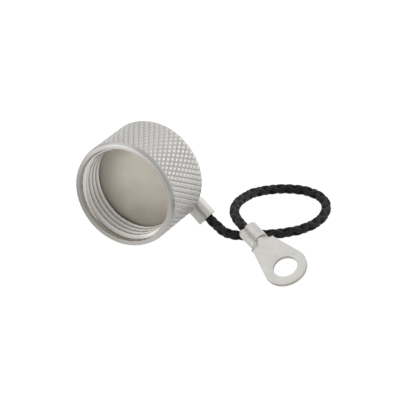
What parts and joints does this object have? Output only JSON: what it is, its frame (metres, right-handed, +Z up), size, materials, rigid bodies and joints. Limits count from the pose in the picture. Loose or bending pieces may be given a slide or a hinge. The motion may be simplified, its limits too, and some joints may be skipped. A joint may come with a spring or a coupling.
{
  "type": "connector dust cap",
  "caption": "Knurled metal dust cap with internal thread and rubber gasket, lying on its side, tied by a black cord lanyard to a crimped ring terminal",
  "frame": {"origin": "on the surface that the cap lies on, under the middle of the cap with its screw", "axes": "+Y runs along the cap's axis from its mouth to its back, +Z is up, +X points to the side the lanyard leaves on"},
  "size_m": [0.055, 0.0444, 0.0241],
  "materials": {
    "plated_cap": "satin nickel plating over a turned and knurled body",
    "gasket_rubber": "matt beige-grey rubber",
    "screw_steel": "bright plated steel",
    "tinned_sheet": "bright tin plating over stamped sheet",
    "cord_braid": "black braided synthetic cord"
  },
  "bodies": {
    "cap": {"cap_shell": "plated_cap", "sealing_gasket": "gasket_rubber", "lanyard_screw": "screw_steel", "lanyard_washer": "screw_steel"},
    "lanyard": {"cap_terminal": "tinned_sheet", "lanyard_cord": "cord_braid", "free_terminal": "tinned_sheet"}
  },
  "joints": [
    {"name": "lanyard_swivel", "type": "hinge", "parent": "cap", "child": "lanyard", "pos_m": [0, 0.00592, 0.01205], "axis": [0, 1, 0], "continuous": true}
  ]
}
